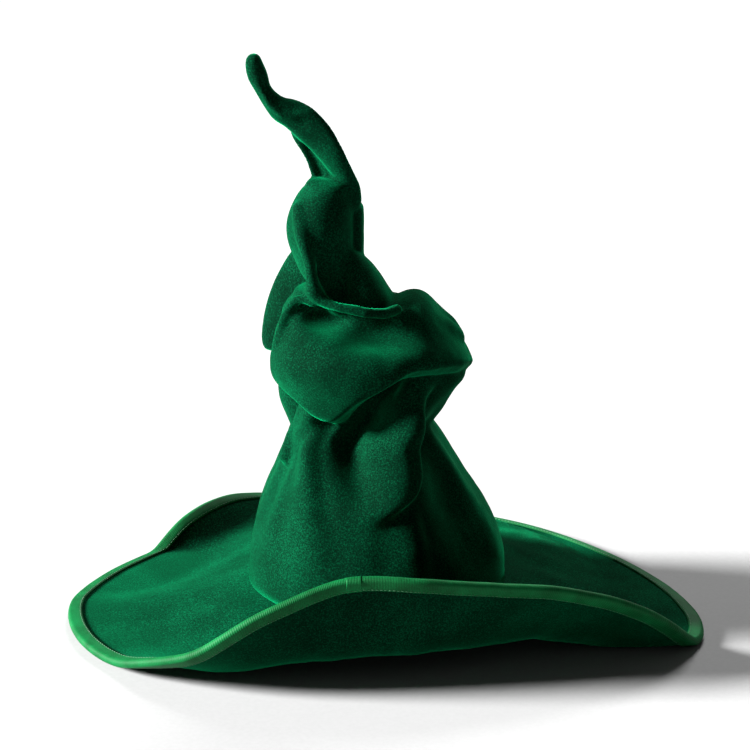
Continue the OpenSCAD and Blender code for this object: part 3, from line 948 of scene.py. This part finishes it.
def build_binding():
    """Ribbon folded over the edge, a little puffed between its stitches."""
    outer, inner = [], []
    for a in np.radians(np.linspace(-90, 90, 11)):
        reach = EDGE_ROOM + FOLD_REACH * math.cos(a) + 0.4
        outer.append(brim.loop(BRIM_STEPS, reach, BINDING_OUT * math.sin(a)))
    rows = [FLANGE, FLANGE + 0.3, FLANGE + 1.1, FLANGE + 2.0, BRIM_STEPS]
    lift = [0.0, 0.35, 0.5, 0.45, 0.1]
    under_rows = [brim.loop(r, 0, -BINDING_OUT - h) for r, h in zip(rows, lift)]
    top_rows = [brim.loop(r, 0, BINDING_OUT + h) for r, h in zip(rows, lift)]
    for a in np.radians(np.linspace(90, -90, 9)):
        inner.append(brim.loop(BRIM_STEPS, 0.2 + 2.4 * math.cos(a), BINDING_IN * math.sin(a)))
    loops = under_rows + outer + top_rows[::-1]
    loops += [brim.loop(FLANGE, 0, BINDING_IN)] + inner + [brim.loop(FLANGE, 0, -BINDING_IN)]
    return mark_along(outward(ring_object("brim_binding_ribbon", loops)), brim.sides)


binding = build_binding()
finish_piece(binding, ribbon, "brim_binding")


# [place along a stitch, share of its thickness, how far it lifts off the cloth in radii]
STITCH = [(0.0, 0.25, -0.6), (0.12, 0.8, 0.1), (0.5, 1.0, 0.55), (0.88, 0.8, 0.1), (1.0, 0.25, -0.6)]


def capsules(name, spans, r, sides=5):
    """Short round stitches, one for each (start, end, lift direction)."""
    points, faces = [], []
    for start, end, up in spans:
        start, end, up = (np.asarray(v, float) for v in (start, end, up))
        side = unit(np.cross(end - start, up))
        up = unit(np.cross(side, end - start))
        first = len(points)
        for share, wide, lift in STITCH:
            centre = start + share * (end - start) + lift * r * up
            for a in circle(sides):
                points.append(centre + r * wide * (math.cos(a) * side + math.sin(a) * up))
        faces += grid_faces(len(STITCH), sides, rows_close=False, start=first)
        faces.append(tuple(reversed(range(first, first + sides))))
        faces.append(tuple(range(len(points) - sides, len(points))))
    return outward(new_object(name, points, faces))


def along(path, pitch, length):
    """Stitches of a length, a pitch apart, along a closed path of points."""
    closed = np.concatenate([path, path[:1]])
    steps = np.linalg.norm(np.diff(closed, axis=0), axis=1)
    place = np.concatenate([[0], np.cumsum(steps)])
    count = int(place[-1] / pitch)
    spans = []
    for i in range(count):
        ends = []
        for s in (i * pitch, i * pitch + length):
            ends.append([np.interp(s, place, closed[:, k]) for k in range(3)])
        spans.append(ends)
    return spans


def binding_stitches(name, side):
    """The stitches through the binding, on its upper (1) or lower (-1) side."""
    row = brim.loop(STITCH_ROW, 0, side * (BINDING_OUT + 0.42))
    up = brim.loop(STITCH_ROW, 0, side * 20.0) - row
    turns = np.arctan2(row[:, 1], row[:, 0])
    spans = []
    for start, end in along(row, 3.0, 2.2):
        turned = turns - math.atan2(start[1], start[0])
        nearest = int(np.argmin(np.abs(np.angle(np.exp(1j * turned)))))
        spans.append((start, end, up[nearest]))
    return capsules(name, spans, 0.26)


finish_piece(binding_stitches("binding_top_stitches", 1), thread, "binding_top_thread")
finish_piece(binding_stitches("binding_under_stitches", -1), thread, "binding_under_thread")


def resample(loop, picks):
    """Points of a closed loop at fractional places."""
    return np.stack([np.interp(picks, np.arange(len(loop)), loop[:, k]) for k in range(3)], 1)


def build_lap():
    """The ribbon's end, turned under and laid over its start."""
    low, high = (int(az / 360 * brim.sides) for az in (262.5, 266.6))
    picks = np.linspace(low, high, 13)
    sheets = []
    for lift in (0.2, 0.55):
        rise = BINDING_OUT + lift
        rows = [(s, 0, -rise) for s in (FLANGE, FLANGE + 2, BRIM_STEPS)]
        for a in np.radians(np.linspace(-90, 90, 9)):
            rows.append((BRIM_STEPS, EDGE_ROOM + (FOLD_REACH + lift) * math.cos(a), rise * math.sin(a)))
        rows += [(s, 0, rise) for s in (BRIM_STEPS, FLANGE + 2, FLANGE)]
        sheets.append([resample(brim.loop(*row), picks) for row in rows])
    loops = sheets[0] + sheets[1][::-1]
    count = len(picks)
    faces = grid_faces(len(loops), count, row_closes=False)
    for end in (0, count - 1):
        for i in range(len(sheets[0]) - 1):
            j = len(loops) - 1 - i
            faces.append(tuple(k * count + end for k in (i, i + 1, j - 1, j)))
    piece = outward(new_object("binding_lap_ribbon", np.concatenate(loops), faces))
    return mark_along(piece, count, (high - low) / (count - 1))


lap = build_lap()
finish_piece(lap, ribbon, "binding_lap")

wire_path = brim.loop(BRIM_STEPS, 1.2, 0)
finish_piece(brim.tube("brim_wire_ring", wire_path, WIRE_R), steel, "brim_wire")


def build_sleeve():
    """A short crimped tube over the joint of the brim's wire."""
    path = resample(wire_path, np.linspace(95, 99, 9) / 360 * brim.sides)
    side, over = across(np.gradient(path, axis=0))
    outer = [1.2 * crimp for crimp in (1.0, 1.0, 0.94, 1.0, 1.0, 1.0, 0.94, 1.0, 1.0)]
    places = [(i, r) for i, r in enumerate(outer)] + [(i, 0.9) for i in reversed(range(len(path)))]
    cos, sin = np.cos(circle(16))[:, None], np.sin(circle(16))[:, None]
    loops = [path[i] + r * (cos * side[i] + sin * over[i]) for i, r in places]
    return outward(ring_object("brim_wire_crimp", loops))


finish_piece(build_sleeve(), steel, "brim_wire_sleeve")


# ---- inside the head opening

def build_sweatband():
    """Grosgrain ribbon round the opening, with fine upright ribs and rounded edges."""
    low, high = SEAT, SEAT + BAND_H
    inner, outer = HEAD_R, HEAD_R + BAND_T
    face = inner + 0.05
    profile = [(inner + 0.3, low), (outer - 0.2, low), (outer, low + 0.5), (outer, high - 0.5),
               (outer - 0.2, high), (inner + 0.3, high), (face, high - 0.6)]
    profile += [(face, z) for z in np.linspace(high - 3, low + 3, 6)]
    profile.append((face, low + 0.6))
    az = circle(720)
    loops = []
    for r, z in profile:
        wide = r + 0.05 * np.sin(az * 360)
        loops.append(np.stack([wide * np.cos(az), wide * np.sin(az), np.full(len(az), float(z))], 1))
    return outward(ring_object("sweatband_ribbon", loops))


sweatband = build_sweatband()
finish_piece(sweatband, ribbon, "sweatband")


def overlock(name, r, low, high, count):
    """Zigzag stitches round an edge."""
    spans = []
    for i in range(count):
        a, b = 2 * math.pi * i / count, 2 * math.pi * (i + 0.5) / count
        start = (r * math.cos(a), r * math.sin(a), low)
        end = (r * math.cos(b), r * math.sin(b), high)
        spans.append((start, end, (-math.cos(a), -math.sin(a), 0)))
    return capsules(name, spans, 0.24)


band_stitches = overlock("sweatband_stitches", HEAD_R - 0.15, SEAT + 1.2, SEAT + 3.6, 190)
finish_piece(band_stitches, thread, "sweatband_thread")


def crown_join_stitches():
    """The stitches that hold the crown's foot to the brim, below its turned edge."""
    az = circle(720)
    z = seam_height(np.degrees(az)) + SANDWICH + 1.2
    path = np.stack([CROWN_JOIN_R * np.cos(az), CROWN_JOIN_R * np.sin(az), z], 1)
    spans = [(a, b, np.array([a[0], a[1], 0.0]) / CROWN_JOIN_R) for a, b in along(path, 3.4, 2.3)]
    return capsules("crown_join_stitches", spans, 0.25)


def nearest_value(x, y, z):
    """The crown's field at the voxel nearest to a point."""
    return crown_values[tuple(int(round((v - low) / VOXEL)) for v, low in zip((x, y, z), LOW))]


def surface_point(az, z):
    """Where the crown's outside stands at an azimuth and height, from the axis through it."""
    middle = on_curve(BASE, min(z, 150))
    for r in np.arange(20.0, 110.0, 0.4):
        point = np.array([middle[0] + r * math.cos(az), middle[1] + r * math.sin(az), z])
        if nearest_value(*point) > -0.3:
            break
    return point


def radius_inside(az, z):
    """How far the lining's inner face stands from the axis at an azimuth and height."""
    for r in np.arange(60.0, 100.0, 0.5):
        if nearest_value(r * math.cos(az), r * math.sin(az), z) > -LINING_FACE:
            break
    return r


def back_seam_stitches():
    """The crown's long seam at the back, up to the waist."""
    az = math.radians(92)
    spans = []
    for z in np.arange(36, 140, 3.2):
        start, end = surface_point(az, z), surface_point(az, z + 2.2)
        spans.append((start, end, (math.cos(az), math.sin(az), 0.2)))
    return capsules("crown_back_seam_stitches", spans, 0.26)


def tack_stitches():
    """Short hand stitches that hold the folds, each a small bar of three threads."""
    spans = []
    for az, z in ((200, 152), (330, 152), (30, 150), (95, 150), (140, 153), (255, 151)):
        az = math.radians(az)
        along_way = np.array([-math.sin(az), math.cos(az), 0.0])
        out = np.array([math.cos(az), math.sin(az), 0.0])
        middle = surface_point(az, z) - 2.4 * out
        for lift in (-0.5, 0.0, 0.5):
            up = np.array([0, 0, lift])
            spans.append((middle - 2.5 * along_way + up, middle + 2.5 * along_way + up, out))
    return capsules("fold_tack_stitches", spans, 0.3)


finish_piece(crown_join_stitches(), thread, "crown_join_thread")
finish_piece(back_seam_stitches(), thread, "crown_back_seam")
finish_piece(tack_stitches(), thread, "fold_tacks")


def build_label():
    """A blank woven label, gently waved, on the lining at the back."""
    low, high = (np.array(c) * 1000 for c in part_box("size_label"))
    centre = (low + high) / 2
    az0 = math.atan2(centre[1], centre[0])
    r0 = math.hypot(centre[0], centre[1])
    rows, cols = 9, 17
    half = 12.5
    points, faces = [], []
    for depth in (0.0, 0.7):
        faces += grid_faces(rows, cols, rows_close=False, row_closes=False, start=len(points))
        for i in range(rows):
            z = SEAT + low[2] + (high[2] - low[2]) * i / (rows - 1)
            tuck = 0.25 * math.cos(math.pi * 4 * i / (rows - 1))
            for j in range(cols):
                az = az0 + half * (2 * j / (cols - 1) - 1) / r0
                r = radius_inside(az, z) - 1.2 - depth - tuck
                points.append((r * math.cos(az), r * math.sin(az), z))
    edge = [i * cols for i in range(rows)] + [(rows - 1) * cols + j for j in range(1, cols)]
    edge += [i * cols + cols - 1 for i in reversed(range(rows - 1))] + list(range(cols - 2, 0, -1))
    back = rows * cols
    for a, b in zip(edge, edge[1:] + edge[:1]):
        faces.append((a, b, back + b, back + a))
    return outward(new_object("woven_size_label", points, faces))


size_label = build_label()
finish_piece(size_label, label, "size_label")


# ---- stage, light, camera

def build_stage():
    """A plain pale floor, so wide that it reaches the horizon."""
    steps = np.linspace(-40000, 40000, 5)
    points = [(x, y, -0.9) for y in steps for x in steps]
    faces = grid_faces(len(steps), len(steps), rows_close=False, row_closes=False)
    stage = new_object("studio_floor", points, faces)
    look = Look("pale_floor")
    look.color(look.noise(300, 2.0, 0.5), (0.3, (0.39, 0.39, 0.39)), (0.7, (0.41, 0.41, 0.41)))
    look.set({"Roughness": 0.9})
    stage.data.materials.append(look.material)


def aimed(name, data, place, target):
    """Puts a light or a camera at a place, turned to a target."""
    made = linked(name, data)
    made.location = place
    made.rotation_euler = (Vector(target) - Vector(place)).to_track_quat("-Z", "Y").to_euler()
    return made


def build_lights():
    """A hard sun from the left, a soft light from above and behind, and a faint sky."""
    sun = bpy.data.lights.new("key_left", "SUN")
    sun.energy = 20.0
    sun.angle = 0.25
    aimed("key_left", sun, (-2.4, -0.15, 0.84), (0, 0, 0))
    area = bpy.data.lights.new("back_top", "AREA")
    area.shape = "DISK"
    area.size = 1.2
    area.energy = 60
    aimed("back_top", area, (0.5, 2.0, 2.2), (0.1, 0, 0.1))
    world = bpy.data.worlds.new("studio")
    world.use_nodes = True
    sky = world.node_tree.nodes["Background"]
    sky.inputs["Color"].default_value = (1.0, 1.0, 1.0, 1.0)
    sky.inputs["Strength"].default_value = 0.06
    bpy.context.scene.world = world


def build_camera():
    """A long lens in front, a little above the hat."""
    camera = bpy.data.cameras.new("camera")
    camera.lens = 128.2
    camera.sensor_width = 36.0
    target = Vector((-0.0015, -0.0038, 0.1876 - SEAT / 1000))
    tilt = math.radians(17)
    place = target + 2.0 * Vector((0, -math.cos(tilt), math.sin(tilt)))
    bpy.context.scene.camera = aimed("camera", camera, place, target)


build_stage()
build_lights()
build_camera()
bpy.context.scene.view_settings.view_transform = "Standard"
